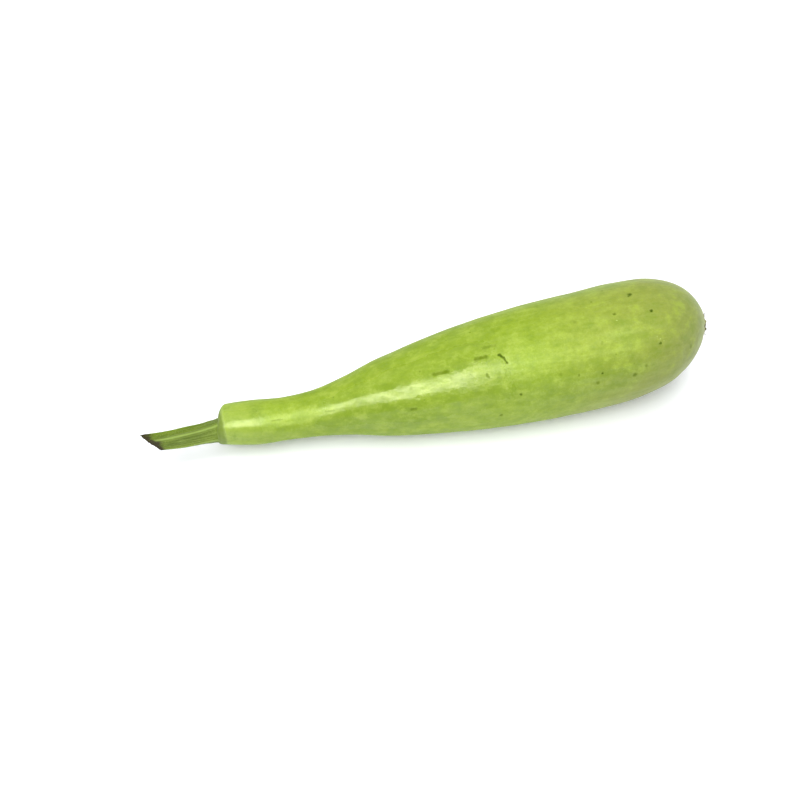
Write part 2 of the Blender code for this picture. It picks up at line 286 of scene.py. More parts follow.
def from_scar(points):
    """How far points lie beyond the scar and from its axis, and their angle round that axis."""
    along, left, up = SCAR_AXES
    beside = points - SCAR_MIDDLE
    beyond = beside @ along
    apart = np.linalg.norm(beside - beyond[..., None] * along, axis=-1)
    return beyond, apart, np.arctan2(beside @ up, beside @ left)


# The fruit.

FRUIT_SIDES = 240
BODY_RINGS = 384
SHOULDER_RINGS = 12
SPACING_STEPS = 20000
# Rings under the stem's foot, as shares of the socket's radius, and how deep the skin lies under its middle.
FOOT_RINGS = (0.5, 0.8, 0.93)
FOOT_HOLLOW = 0.0004

# Lumps and ripples of the skin: height, length and stretch along the gourd.
LUMPS = ((0.00015, 0.034, 1.6), (0.00006, 0.013, 1.8), (0.000016, 0.0048, 1.6))
# Pits at the marks: depth, and width for each mm of the mark's radius.
SPOT_DEPTH = 0.00016
SPOT_WIDTH = 0.0011
SCRATCH_DEPTH = 0.00012
SCRATCH_WIDTH = 0.0014
# Folds round the scar: height, how far back they reach, and the distances from the scar's axis at which they
# start, are full, begin to fade and end.
FOLD_HEIGHT = 0.00017
FOLD_BACK = 0.012
FOLD_START, FOLD_FULL, FOLD_FADE, FOLD_END = 0.002, 0.006, 0.007, 0.016
# The dimple: depth, how far back it reaches, and the distances from its axis at which it starts and is full.
HOLLOW_DEPTH = 0.0012
HOLLOW_BACK = 0.004
HOLLOW_START, HOLLOW_FULL = 0.0072, 0.0048
# The relief grows from none at the ground, where the flat spot stays flat, to its full height this far up.
FREE_HEIGHT = 0.003
# Waves of the neck's end: height, and the distances from the stem's foot at which they are full and end.
NECK_WAVE_HEIGHT = 0.00022
NECK_WAVE_FULL, NECK_WAVE_END = 0.001, 0.009


def neck_rings():
    """Rings of the neck's end: from under the stem's foot to its rim, and over the rounded shoulder."""
    angles = ring_angles(FRUIT_SIDES)
    outward = np.stack((np.cos(angles), np.sin(angles)), -1)
    rings = []
    for share in FOOT_RINGS:
        distance = np.full(FRUIT_SIDES, FOOT_HOLLOW * (1 - share ** 4))
        place = np.array(SOCKET_OFFSET) + outward * SOCKET_RADIUS * share
        rings.append(fruit_point(distance, place[:, 0], place[:, 1]))
    rim = np.array(SOCKET_OFFSET) + outward * SOCKET_RADIUS
    neck = outward * fruit_radius(np.array([SHOULDER_LENGTH]))
    for turn in np.linspace(0, np.pi / 2, SHOULDER_RINGS + 1):
        distance = np.full(FRUIT_SIDES, SHOULDER_LENGTH * (1 - math.cos(turn)))
        place = rim + (neck - rim) * math.sin(turn)
        rings.append(fruit_point(distance, place[:, 0], place[:, 1]))
    return np.array(rings)


def body_rings():
    """Rings from the neck to just short of the middle of the blossom end, evenly spaced over the skin."""
    fine = np.linspace(SHOULDER_LENGTH, FRUIT_LENGTH, SPACING_STEPS)
    radii = fruit_radius(fine)
    lengths = np.concatenate(([0], np.cumsum(np.hypot(np.diff(fine), np.diff(radii)))))
    distances = np.interp(np.linspace(0, lengths[-1], BODY_RINGS + 2)[1:-1], lengths, fine)
    return skin_point(*np.meshgrid(distances, ring_angles(FRUIT_SIDES), indexing="ij"))


def normals_of(rows):
    """Outward directions of a grid of ring points."""
    along = np.gradient(rows, axis=0)
    around = np.roll(rows, -1, axis=1) - np.roll(rows, 1, axis=1)
    return unit(np.cross(around, along))


def from_segment(points, start, end):
    """How far points are from a stretch of line."""
    line = end - start
    share = np.clip((points - start) @ line / (line @ line), 0, 1)
    return np.linalg.norm(points - start - share[..., None] * line, axis=-1)


def skin_relief(points, draw):
    """How far the skin stands out: soft lumps, fine ripples, folds round the scar, and pits at the marks."""
    relief = sum(height * Waves(draw, length, stretch).at(points) for height, length, stretch in LUMPS)
    for distance, angle, radius, strength in DARK_SPOTS:
        apart = np.linalg.norm(points - on_skin(distance, angle), axis=-1)
        relief -= SPOT_DEPTH * strength * np.exp(-(apart / (radius * SPOT_WIDTH)) ** 2)
    for start, end, radius, strength in SCRATCHES:
        apart = from_segment(points, on_skin(*start), on_skin(*end))
        relief -= SCRATCH_DEPTH * strength * np.exp(-(apart / (radius * SCRATCH_WIDTH)) ** 2)
    beyond, apart, turn = from_scar(points)
    near = (beyond > -FOLD_BACK) * smooth_step(FOLD_END, FOLD_FADE, apart)
    folds = np.cos(9 * turn + 1.2 * np.sin(2 * turn)) + 0.5 * np.cos(16 * turn + 1)
    return relief + FOLD_HEIGHT * near * folds * smooth_step(FOLD_START, FOLD_FULL, apart)


def neck_waves(points):
    """How far the neck's end stands out: it is drawn in at the stem's ribs and swells between them."""
    beside = points - STEM_FOOT
    turn = np.arctan2(beside[..., 2], beside[..., 1])
    near_stem = smooth_step(NECK_WAVE_END, NECK_WAVE_FULL, beside[..., 0])
    return NECK_WAVE_HEIGHT * near_stem * np.cos(STEM_RIBS * (turn + RIB_ANGLE))


def make_fruit(draw):
    """The fruit in one skin, with its relief, its dimple and its flat spot."""
    rows = np.concatenate((neck_rings(), body_rings())) + ROW_SHIFT
    free = smooth_step(0, FREE_HEIGHT, rows[..., 2])
    moved = free * (skin_relief(rows, draw) + neck_waves(rows))
    # The rings under the stem's foot and the one at its rim stay where they are.
    moved[:len(FOOT_RINGS) + 1] = 0
    _, apart, _ = from_scar(rows)
    at_end = rows[..., 0] > SCAR_MIDDLE[0] - HOLLOW_BACK
    dimple = HOLLOW_DEPTH * smooth_step(HOLLOW_START, HOLLOW_FULL, apart) * at_end
    rows = rows + normals_of(rows) * moved[..., None] - SCAR_AXES[0] * dimple[..., None]
    rows[..., 2] = np.maximum(rows[..., 2], 0)
    return grid_mesh("gourd_fruit", rows, rows[0].mean(0), rows[-1].mean(0))


# The stem.

STEM_SIDES = 180
STEM_RINGS = 150
RING_CROWDING = 1.15
CUT_TRIES = 8
CREST_HEIGHT = 0.00030
CREST_SHARPNESS = 7
# Fine furrows: count, phase and drift, and by how many radians a metre a drift of 1 winds them.
FURROWS = ((17, 0.4, 1.0), (23, 2.0, -1.4), (31, 4.1, 0.8), (40, 1.1, -0.6))
FURROW_WINDING = 25
FURROW_HEIGHT = 0.00004
# Soft lumps: height, length and stretch along the gourd.
STEM_LUMP_HEIGHT = 0.00009
STEM_LUMPS = (0.007, 2.5)
# The foot spreads over the neck, most at the ribs, and fades over this length.
FOOT_LENGTH = 0.0011
FOOT_SPREAD = 0.0002
FOOT_RIB_SPREAD = 0.0009
# The dried tip has shrunk, and fades over a length that is greater on the cut's long side.
DRIED_LENGTH = 0.0026
DRIED_LONG_SIDE = 0.0030
DRIED_SHRINKAGE = 0.00022

# The cut face: rings from its lip to near its middle, the lip's waves and grains, and how deep the face lies.
FACE_RINGS = 22
FACE_SHARES = np.linspace(1, 0.03, FACE_RINGS + 1)[1:]
LIP_WAVES = ((7, 0.00012, 1), (19, 0.0001, 0), (43, 0.00008, 2))
LIP_GRAIN = 0.0001
FACE_DEPTH = 0.00075
PITH_DEPTH = 0.0006
# Bundles stand in a ring round the pith, and fibres run out from it.
BUNDLES = 10
BUNDLE_HEIGHT = 0.00022
BUNDLE_SHARE = 0.66
BUNDLE_WIDTH = 0.09
FIBRES = 37
FIBRE_HEIGHT = 0.00006


def stem_middle(distance):
    """The stem's middle line in the drawing's frame, at distances from its foot."""
    along = fruit_axes(np.zeros(1))[0][0]
    foot = fruit_point(np.zeros(1), np.array([SOCKET_OFFSET[0]]), np.array([SOCKET_OFFSET[1]]))[0]
    foot = foot + along * (SOCKET_DEPTH - GAP)
    distance = np.asarray(distance, float)
    return foot + np.stack((-distance, curve(STEM_SWAY, distance), -STEM_DROP * distance), -1)


# The stem's foot in the row frame, and the middle of its cut in the drawing's frame.
STEM_FOOT = stem_middle(np.zeros(1))[0] + ROW_SHIFT
CUT_MIDDLE = stem_middle(np.array([CUT_DISTANCE]))[0]


def ribs_grown(distance):
    """0 at the stem's foot and 1 from where its ribs are full."""
    return np.clip(distance / RIB_RISE_LENGTH, 0, 1)


def stem_axes(distance):
    free = ribs_grown(distance)[..., None]
    line = unit(stem_middle(distance + DIRECTION_STEP) - stem_middle(distance))
    return axes_of(-fruit_axes(np.zeros(1))[0][0] * (1 - free) + line * free)


def rib_share(angle, distance):
    """1 on the crest of a rib and 0 between two."""
    return (0.5 + 0.5 * np.cos(STEM_RIBS * (angle - RIB_ANGLE - RIB_TWIST * distance))) ** 2


def stem_reach(angle, distance):
    ribs = RIB_HEIGHT * ribs_grown(distance) * (rib_share(angle, distance) - RIB_MEAN)
    return curve(STEM_GIRTH, distance) + ribs


def stem_point(angle, distance, reach):
    _, left, up = stem_axes(distance)
    return stem_middle(distance) + turned_by(angle, left, up) * reach[..., None]


def cut_distances(angles):
    """How far along the stem each line of its skin meets the slanting cut."""
    distance = np.full(len(angles), CUT_DISTANCE)
    reach = stem_reach(angles, distance)
    for _ in range(CUT_TRIES):
        along = stem_axes(distance)[0]
        beyond = (stem_point(angles, distance, reach) - CUT_MIDDLE) @ CUT_DIRECTION
        distance = distance - beyond / (along @ CUT_DIRECTION)
    return distance


def stem_skin(draw, angles):
    """Rings of the ribbed, furrowed skin, and how far each point is crest, dried tip and foot."""
    ends = cut_distances(angles)
    distance = (np.linspace(0, 1, STEM_RINGS + 1) ** RING_CROWDING)[:, None] * ends
    angle = np.broadcast_to(angles, distance.shape)
    crest = rib_share(angle, distance) ** CREST_SHARPNESS
    turned = angle - RIB_TWIST * distance
    furrows = sum(np.cos(count * turned + phase + FURROW_WINDING * distance * drift)
                  for count, phase, drift in FURROWS)
    foot = np.exp(-distance / FOOT_LENGTH)
    long_side = smooth_step(0.6, 1.0, ends / ends.max())
    dried = np.exp(-(ends - distance) / (DRIED_LENGTH + DRIED_LONG_SIDE * long_side))
    spread = FOOT_SPREAD + FOOT_RIB_SPREAD * rib_share(angle, np.zeros(1))
    reach = stem_reach(angle, distance) + CREST_HEIGHT * ribs_grown(distance) * crest
    reach = reach + FURROW_HEIGHT * furrows * (1 - 0.6 * foot)
    reach = reach + foot * spread - DRIED_SHRINKAGE * dried
    rows = stem_point(angle, distance, reach)
    lumps = STEM_LUMP_HEIGHT * Waves(draw, *STEM_LUMPS).at(rows)
    rows = rows + normals_of(rows) * (lumps * (1 - foot))[..., None]
    return rows, crest, dried, foot


def cut_face(draw, angles, rim):
    """Rings of the cut: its ragged lip, and the sunken face with its ring of bundles."""
    edge = rim - ((rim - CUT_MIDDLE) @ CUT_DIRECTION)[:, None] * CUT_DIRECTION
    ragged = waves_round(LIP_WAVES, angles) + LIP_GRAIN * draw.normal(size=STEM_SIDES)
    rings = [edge + ragged[:, None] * CUT_DIRECTION]
    for share in FACE_SHARES:
        lip = ragged * smooth_step(0.86, 1.0, share)
        sunk = FACE_DEPTH * smooth_step(0.98, 0.80, share) + PITH_DEPTH * smooth_step(0.45, 0.0, share)
        bundles = BUNDLE_HEIGHT * np.exp(-((share - BUNDLE_SHARE) / BUNDLE_WIDTH) ** 2)
        bundles = bundles * np.maximum(np.cos(BUNDLES * angles + 0.6), 0)
        fibres = FIBRE_HEIGHT * np.cos(FIBRES * angles + 9 * share) * share
        height = lip - sunk + bundles + fibres
        rings.append(CUT_MIDDLE + (edge - CUT_MIDDLE) * share + height[:, None] * CUT_DIRECTION)
    return np.array(rings)


def make_stem(draw):
    """The stem with its ribs and fine furrows, its foot spread over the neck, and its dried, sunken cut."""
    angles = ring_angles(STEM_SIDES)
    skin, crest, dried, foot = stem_skin(draw, angles)
    rows = np.concatenate((skin[:-1], cut_face(draw, angles, skin[-1]))) + ROW_SHIFT
    stem = grid_mesh("gourd_stem", rows, rows[0].mean(0), rows[-1].mean(0))

    # For the material: values on the skin, on the face, in the middle of the foot and in that of the face.
    face_points = FACE_RINGS * STEM_SIDES
    face = np.repeat(smooth_step(1.0, 0.9, FACE_SHARES), STEM_SIDES)
    inward = np.repeat(FACE_SHARES, STEM_SIDES)
    kept = {"crest": (crest.ravel(), np.zeros(face_points), [0, 0]),
            "dried": (dried.ravel(), np.ones(face_points), [0, 1]),
            "foot": (foot.ravel(), np.zeros(face_points), [1, 0]),
            "face": (np.zeros(crest.size), face, [0, 1]),
            "inward": (np.ones(crest.size), inward, [1, 0])}
    for name, values in kept.items():
        keep_values(stem, name, np.concatenate(values))
    return stem


# The blossom scar.

SCAR_SIDES = 120
SCAR_RINGS = 44
SCAR_SHARES = np.linspace(1.04, 0.02, SCAR_RINGS)
SCAR_EDGE_WAVES = ((5, 0.05, 1), (11, 0.035, 2), (23, 0.025, 0))
WRINKLE_HEIGHT = 0.00016
# Cracks: height, and the share and length of each of their two fields.
CRACK_HEIGHT = 0.00013
CRACKS = ((1.0, 0.0022), (0.7, 0.0011))

STRIP_RINGS = 14
STRIP_SIDES = 10
# How high a strip's foot stands over the dimple's rim, and how far it leans already, in radians.
STRIP_FOOT_HEIGHT = 0.0006
STRIP_FOOT_LEAN = 0.2

# Two sepal tips stand up at the outline, and the others lean outward. For each kind: length as a share of the
# solids', and how far they curl, in radians.
UPRIGHT_SEPALS = (41, 224)
UPRIGHT = (1.5, 0.8)
LEANING = (1.0, 1.4)
SEPAL_FEET = (0.0038, 0.0043, 0.0043, 0.0052, 0.0043)
SEPAL_WIDTH = 0.0023
SEPAL_THICKNESS = 0.0006

# Torn shreds: how many, and the ranges from which the foot, length, curl and width of each are drawn.
SHREDS = 22
SHRED_RANGES = ((0.0026, 0.0048), (0.0006, 0.0017), (1.0, 1.45), (0.0005, 0.0011))
SHRED_THICKNESS = 0.0004

# The grid on which disc and strips melt into one body, and the smoothing after it.
MELT_GRID = 0.0001
MELT_SMOOTHING = 0.5
MELT_ROUNDS = 3


def scar_point(reach, angle, height):
    """The point at a distance from the scar's axis, an angle round it and a height over its underside."""
    along, left, up = SCAR_AXES
    underside = SCAR_MIDDLE - along * (DIMPLE_DEPTH - GAP)
    return underside + turned_by(angle, left, up) * reach[..., None] + along * height[..., None]


def scar_height(reach, angle):
    dome = SCAR_DOME * (1 - (reach / SCAR_RADIUS) ** 2)
    ragged = RIM_MEAN + waves_round(RIM_WAVES, angle)
    rim = RIM_HEIGHT * ragged * np.exp(-((reach - RIM_RADIUS) / RIM_WIDTH) ** 2)
    style = STYLE_HEIGHT * np.exp(-(reach / STYLE_RADIUS) ** 2)
    return dome + rim + style


def make_scar_disc(draw):
    """The scar's corky disc: wrinkled, cracked and ragged at its edge."""
    reach, angle = np.meshgrid(SCAR_RADIUS * SCAR_SHARES, ring_angles(SCAR_SIDES), indexing="ij")
    waves = 14 * angle + 1.5 * np.sin(3 * angle) + 600 * reach
    wrinkles = WRINKLE_HEIGHT * np.cos(waves) * reach / SCAR_RADIUS
    height = DIMPLE_DEPTH + scar_height(reach, angle) + wrinkles
    reach = reach * (1 + waves_round(SCAR_EDGE_WAVES, angle) * (reach / SCAR_RADIUS) ** 3)
    top = scar_point(reach, angle, height)
    cracks = sum(share * Waves(draw, length).at(top) for share, length in CRACKS)
    top = top + SCAR_AXES[0] * (CRACK_HEIGHT * cracks)[..., None]
    bottom = scar_point(reach[:1], angle[:1], np.zeros((1, SCAR_SIDES)))
    rows = np.concatenate((bottom, top))
    return grid_mesh("scar_disc", rows, rows[0].mean(0), rows[-1].mean(0))


def make_strip(name, draw, angle, foot, length, curl, width, thickness):
    """A withered strip that stands on the scar and curls outward, flat, tapering and a little twisted."""
    turns = ring_angles(STRIP_SIDES)
    sway = draw.uniform(-0.5, 0.5)
    twist = draw.uniform(-0.9, 0.9)
    start = DIMPLE_DEPTH - GAP + STRIP_FOOT_HEIGHT
    rows = []
    for share in np.linspace(0, 1, STRIP_RINGS):
        reach = foot + length * math.sin(curl * share) * 0.9
        rise = length * (math.sin(curl * share + STRIP_FOOT_LEAN) - STRIP_FOOT_LEAN) * (1.35 - curl * 0.6)
        taper = (1 - 0.75 * share ** 1.5) * (1 + 0.15 * math.cos(9 * share + foot * 1e4))
        wide = width / 2 * taper * np.sin(turns)
        thick = thickness / 2 * (1 - 0.4 * share) * np.cos(turns)
        turned = share * twist
        outward = reach + thick * math.cos(turned) + wide * math.sin(turned)
        sideways = wide * math.cos(turned) - thick * math.sin(turned) + length * sway * share ** 2
        place = angle + np.arctan2(sideways, outward)
        rows.append(scar_point(np.hypot(outward, sideways), place, np.full(STRIP_SIDES, start + rise)))
    rows = np.array(rows)
    return grid_mesh(name, rows, rows[0].mean(0), rows[-1].mean(0))


def join(things, name):
    """Joins objects into the first one and renames it."""
    bpy.ops.object.select_all(action="DESELECT")
    for thing in things:
        thing.select_set(True)
    bpy.context.view_layer.objects.active = things[0]
    bpy.ops.object.join()
    things[0].name = name
    things[0].data.name = name
    return things[0]


def apply_modifiers(thing):
    """Puts what the modifiers make into the mesh."""
    graph = bpy.context.evaluated_depsgraph_get()
    data = bpy.data.meshes.new_from_object(thing.evaluated_get(graph))
    thing.modifiers.clear()
    thing.data = data


def make_scar(draw):
    """The corky scar with the torn, withered rests of the blossom, melted into one body."""
    things = [make_scar_disc(draw)]
    for degrees, foot, length in zip(SEPAL_ANGLES, SEPAL_FEET, SEPAL_LENGTHS):
        longer, curl = UPRIGHT if degrees in UPRIGHT_SEPALS else LEANING
        things.append(make_strip(f"sepal_{degrees}", draw, math.radians(degrees), foot, length * longer,
                                 curl, SEPAL_WIDTH, SEPAL_THICKNESS))
    for number in range(SHREDS):
        angle = draw.uniform(0, 2 * math.pi)
        foot, length, curl, width = [draw.uniform(*ends) for ends in SHRED_RANGES]
        things.append(make_strip(f"shred_{number}", draw, angle, foot, length, curl, width, SHRED_THICKNESS))
    scar = join(things, "gourd_scar")
    remesh = scar.modifiers.new("melt", "REMESH")
    remesh.mode = "VOXEL"
    remesh.voxel_size = MELT_GRID
    remesh.use_smooth_shade = True
    smooth = scar.modifiers.new("soften", "SMOOTH")
    smooth.factor = MELT_SMOOTHING
    smooth.iterations = MELT_ROUNDS
    apply_modifiers(scar)
    return scar


# Down.

# A hair's four faces, how deep its root lies, and the direction that its sides are laid out across.
HAIR_FACES = ((0, 2, 1), (0, 1, 3), (1, 2, 3), (2, 0, 3))
ROOT_DEPTH = 0.00005
ASLANT = (0.31, 0.52, 0.79)

DOWN_COUNT = 6000
DOWN_LENGTH = 0.00045
DOWN_RADIUS = 0.000012
# How far the hairs lean at random and toward the stem's tip, against 1 straight out.
DOWN_SCATTER = 0.35
DOWN_LEAN = np.array((-0.35, 0, 0))
# None grows this near the foot, and they thin out over this stretch before the cut.
BARE_FOOT = 0.0008
CUT_EDGE = (-0.0006, -0.0016)


def make_hairs(name, roots, directions, lengths, radius):
    """Fine hairs: three-sided closed spikes that start a little under the skin."""
    count = len(roots)
    side = unit(np.cross(directions, ASLANT))
    other = np.cross(directions, side)
    points = np.empty((count, 4, 3))
    for corner in range(3):
        turn = 2 * math.pi * corner / 3
        outward = (side * math.cos(turn) + other * math.sin(turn)) * radius
        points[:, corner] = roots - directions * ROOT_DEPTH + outward
    points[:, 3] = roots + directions * lengths[:, None]
    first = 4 * np.arange(count)[:, None]
    triangles = np.concatenate([first + np.array(corners) for corners in HAIR_FACES])
    thing = mesh_object(name, points.reshape(-1, 3), np.empty((0, 4), int), triangles)
    map_hairs(thing.data, count)
    return thing


def map_hairs(data, count):
    """Gives each hair a cell of the baked picture, and each of its four faces a quarter of that cell."""
    cells = math.ceil(math.sqrt(count))
    hair = np.tile(np.arange(count), 4)
    quarter = np.repeat(np.arange(4), count)
    corner = np.stack((hair % cells + quarter % 2 / 2, hair // cells + quarter // 2 / 2), -1)
    inside = np.array(((0.1, 0.1), (0.4, 0.1), (0.1, 0.4)))
    places = (corner[:, None] + inside) / cells
    data.uv_layers.new(name="OFBake").data.foreach_set("uv", places.astype(np.float32).ravel())


def scattered(thing, count, draw, weight):
    """Random points on a mesh's faces, closer where the weight is greater, and the faces' directions."""
    data = thing.data
    data.calc_loop_triangles()
    corners = np.empty(len(data.loop_triangles) * 3, np.int32)
    data.loop_triangles.foreach_get("vertices", corners)
    places = np.empty(len(data.vertices) * 3, np.float32)
    data.vertices.foreach_get("co", places)
    a, b, c = np.moveaxis(places.reshape(-1, 3).astype(float)[corners.reshape(-1, 3)], 1, 0)
    normals = np.cross(b - a, c - a)
    areas = np.linalg.norm(normals, axis=1) * weight((a + b + c) / 3)
    chosen = draw.choice(len(areas), count, p=areas / areas.sum())
    first, second = draw.uniform(size=(2, count))
    flip = first + second > 1
    first[flip], second[flip] = 1 - first[flip], 1 - second[flip]
    spots = a[chosen] + (b - a)[chosen] * first[:, None] + (c - a)[chosen] * second[:, None]
    return spots, unit(normals[chosen])


def make_stem_down(stem, draw):
    """The short soft hairs of the stem, which lean toward its tip and are closest near its foot."""
    face = CUT_MIDDLE + ROW_SHIFT

    def weight(spots):
        clear = smooth_step(*CUT_EDGE, (spots - face) @ CUT_DIRECTION)
        off_foot = spots[:, 0] < STEM_FOOT[0] - BARE_FOOT
        return clear * off_foot * (0.8 + 0.6 * np.exp(-(STEM_FOOT[0] - spots[:, 0]) / 0.004))

    roots, outward = scattered(stem, DOWN_COUNT, draw, weight)
    directions = unit(outward + DOWN_SCATTER * draw.normal(size=outward.shape) + DOWN_LEAN)
    lengths = DOWN_LENGTH * draw.uniform(0.5, 1.6, len(roots))
    return make_hairs("stem_down", roots, directions, lengths, DOWN_RADIUS)


# Materials.

# The share of a mark's radius within which it is at its strongest.
MARK_CORE = 0.15


class Paint:
    """Builds the nodes of one material."""

    def __init__(self, name):
        self.material = bpy.data.materials.new(name)
        self.material.use_nodes = True
        self.tree = self.material.node_tree
        self.shader = self.tree.nodes["Principled BSDF"]
        self.place = self.node("TexCoord", {}, output="Object")

    def node(self, kind, inputs, output=0, **settings):
        """Adds a node, sets it, and links or sets its inputs. Returns one of its outputs."""
        made = self.tree.nodes.new("ShaderNode" + kind)
        for name, value in settings.items():
            setattr(made, name, value)
        for where, value in inputs.items():
            self.put(made.inputs[where], value)
        return made.outputs[output]

    def put(self, socket, value):
        if isinstance(value, bpy.types.NodeSocket):
            self.tree.links.new(value, socket)
        else:
            socket.default_value = value

    def surface(self, inputs):
        """Links or sets inputs of the shader."""
        for name, value in inputs.items():
            self.put(self.shader.inputs[name], value)

    def maths(self, operation, first, second=0.0):
        return self.node("Math", {0: first, 1: second}, operation=operation)

    def times(self, first, second):
        return self.maths("MULTIPLY", first, second)

    def ramp(self, value, low, high, to_low=0.0, to_high=1.0):
        """Runs smoothly from to_low, where value is low, to to_high, where it is high."""
        return self.node("MapRange", {0: value, 1: low, 2: high, 3: to_low, 4: to_high},
                         interpolation_type="SMOOTHSTEP")

    def mix(self, share, first, second):
        return self.node("Mix", {0: share, 6: first, 7: second}, output=2, data_type="RGBA")

    def stops(self, value, stops):
        """Runs through colours as a value grows: stops are (value, colour) pairs."""
        low, high = stops[0][0], stops[-1][0]
        share = self.node("MapRange", {0: value, 1: low, 2: high})
        made = self.tree.nodes.new("ShaderNodeValToRGB")
        self.tree.links.new(share, made.inputs[0])
        elements = made.color_ramp.elements
        while len(elements) < len(stops):
            elements.new(0.5)
        for element, (at, shade) in zip(elements, stops):
            element.position = (at - low) / (high - low)
            element.color = shade
        return made.outputs[0]

    def drawn_out(self, share):
        """The place with its x scaled by a share, which draws patterns out along the gourd."""
        return self.node("VectorMath", {0: self.place, 1: (share, 1.0, 1.0)}, operation="MULTIPLY")

    def noise(self, size, detail, roughness=0.5, share=1.0):
        """Clouds of about a given size, from 0 to 1, drawn out by a share."""
        place = self.place if share == 1 else self.drawn_out(share)
        return self.node("TexNoise", {"Vector": place, "Scale": 0.6 / size, "Detail": detail,
                                      "Roughness": roughness})

    def cells(self, scale):
        """How far a place is from the nearest of many scattered points."""
        return self.node("TexVoronoi", {"Vector": self.place, "Scale": scale}, output="Distance")

    def frayed(self, value, pattern, by, low=0.3, high=0.7):
        """A value that a pattern moves down and up by an amount, so that what follows it has ragged edges."""
        return self.maths("ADD", value, self.ramp(pattern, low, high, -by, by))

    def apart(self, place, centre):
        """How far a place is from a point."""
        return self.node("VectorMath", {0: place, 1: centre.tolist()}, output=1, operation="DISTANCE")

    def spot(self, place, centre, radius):
        """1 at a point and 0 beyond a radius."""
        return self.ramp(self.apart(place, centre), radius, radius * MARK_CORE)

    def line(self, place, start, end, radius):
        """1 along a stretch of line and 0 beyond a radius from it."""
        stretch = end - start
        beside = self.node("VectorMath", {0: place, 1: start.tolist()}, operation="SUBTRACT")
        scaled = (stretch / (stretch @ stretch)).tolist()
        share = self.node("VectorMath", {0: beside, 1: scaled}, output=1, operation="DOT_PRODUCT")
        share = self.node("Clamp", {0: share})
        back = self.node("VectorMath", {0: (-stretch).tolist(), 3: share}, operation="SCALE")
        apart = self.node("VectorMath", {0: beside, 1: back}, operation="ADD")
        apart = self.node("VectorMath", {0: apart}, output=1, operation="LENGTH")
        return self.ramp(apart, radius, radius * MARK_CORE)

    def bump(self, height, distance, normal=None):
        inputs = {"Strength": 1.0, "Distance": distance, "Height": height}
        if normal is not None:
            inputs["Normal"] = normal
        return self.node("Bump", inputs)

    def kept(self, name):
        """A number that the mesh keeps for each point."""
        return self.node("Attribute", {}, output="Fac", attribute_name=name)


# The skin's colours, as shares of light given back, from the stem to the blossom end: (x in metres, colour).
SKIN_STOPS = ((-0.117, (0.270, 0.370, 0.060, 1)), (-0.103, (0.238, 0.330, 0.036, 1)),
              (-0.085, (0.208, 0.300, 0.018, 1)), (-0.062, (0.184, 0.270, 0.012, 1)),
              (-0.010, (0.192, 0.280, 0.012, 1)), (0.050, (0.198, 0.286, 0.015, 1)),
              (0.085, (0.212, 0.280, 0.026, 1)), (0.112, (0.210, 0.262, 0.034, 1)),
              (0.145, (0.205, 0.246, 0.048, 1)))
SKIN_LIGHT = (0.275, 0.365, 0.042, 1)
SKIN_DARK = (0.125, 0.205, 0.006, 1)
OLIVE = (0.160, 0.182, 0.016, 1)
TAN = colour(170, 160, 80)
SPECK = (0.028, 0.056, 0.001, 1)
PALE_SPECK = (0.45, 0.55, 0.16, 1)

STEM_DARK = (0.075, 0.115, 0.010, 1)
STEM_GREEN = (0.112, 0.165, 0.014, 1)
# Pale green of the stem's streaks, also used as a painted highlight along its crests.
STEM_STREAK_AND_CREST_HIGHLIGHT = (0.190, 0.265, 0.050, 1)
STEM_BROWN = (0.026, 0.021, 0.009, 1)
FOOT_PALE = (0.360, 0.430, 0.180, 1)
CUT_TAN = colour(176, 160, 96)
CUT_PITH = colour(140, 128, 62)

CORK_DARK = colour(60, 62, 28)
CORK_BROWN = colour(102, 103, 54)
CORK_TAN = colour(168, 167, 110)
CORK_GREY = colour(64, 62, 44)

DOWN_DARK = colour(132, 152, 78)
DOWN_LIGHT = colour(176, 190, 122)
SHEEN_TINT = colour(235, 240, 225)
# How far red, green and blue light sink into the flesh, against each other.
FLESH_RADIUS = (0.6, 1.0, 0.15)

STIPPLE_SCALE = 620.0
FRECKLE_SCALE = 95.0
# The fine noise that bends the edges of the marks, and how far.
BEND_SCALE = 600.0
BEND = 0.0014

# Where the skin changes, from none of a change to all of it: along x, or up where it is a height.
OLIVE_X = (0.055, 0.125)
OLIVE_HEIGHT = (0.058, 0.020)
DULL_BODY_X = (0.014, 0.055)
DULL_NECK_X = (-0.101, -0.088)
DULL_NECK_END_X = (-0.048, -0.078)
BLOOM_X = (0.04, 0.13)
# The tan ring round the scar's middle, and the stem's green on the neck: from the neck's end, and from the
# stem's axis.
TAN_RING = (0.013, 0.006)
GREEN_LENGTH = (0.0036, 0.0015)
GREEN_RADIUS = (0.0136, 0.0116)
# How far patterns move the edges of the skin's colours, of that ring and of that green.
COLOUR_FRAY = 0.008
TAN_FRAY = 0.003
GREEN_FRAY = 0.0005


def skin_ground(paint, x, clouds, mottle, streaks):
    """The skin's colour: clouded, mottled and streaked, olive and tan toward the scar, and more olive and
    darker toward the bottom there.
    """
    base = paint.stops(paint.frayed(x, clouds, COLOUR_FRAY), SKIN_STOPS)
    base = paint.mix(paint.ramp(clouds, 0.58, 0.34, 0.0, 0.40), base, SKIN_DARK)
    base = paint.mix(paint.ramp(mottle, 0.46, 0.72, 0.0, 0.80), base, SKIN_LIGHT)
    base = paint.mix(paint.ramp(mottle, 0.52, 0.28, 0.0, 0.60), base, SKIN_DARK)
    base = paint.mix(paint.ramp(streaks, 0.5, 0.75, 0.0, 0.15), base, SKIN_LIGHT)
    end = paint.times(paint.ramp(x, *OLIVE_X), paint.ramp(clouds, 0.3, 0.62))
    height = paint.node("SeparateXYZ", {0: paint.place}, output="Z")
    # Toward the scar the skin turns olive, more so and darker toward the bottom.
    base = paint.mix(paint.times(end, paint.ramp(height, *OLIVE_HEIGHT, 0.20, 0.60)), base, OLIVE)
    ring = paint.frayed(paint.apart(paint.place, SCAR_MIDDLE), mottle, TAN_FRAY, 0.2, 0.8)
    return paint.mix(paint.ramp(ring, *TAN_RING, 0.0, 0.75), base, TAN)


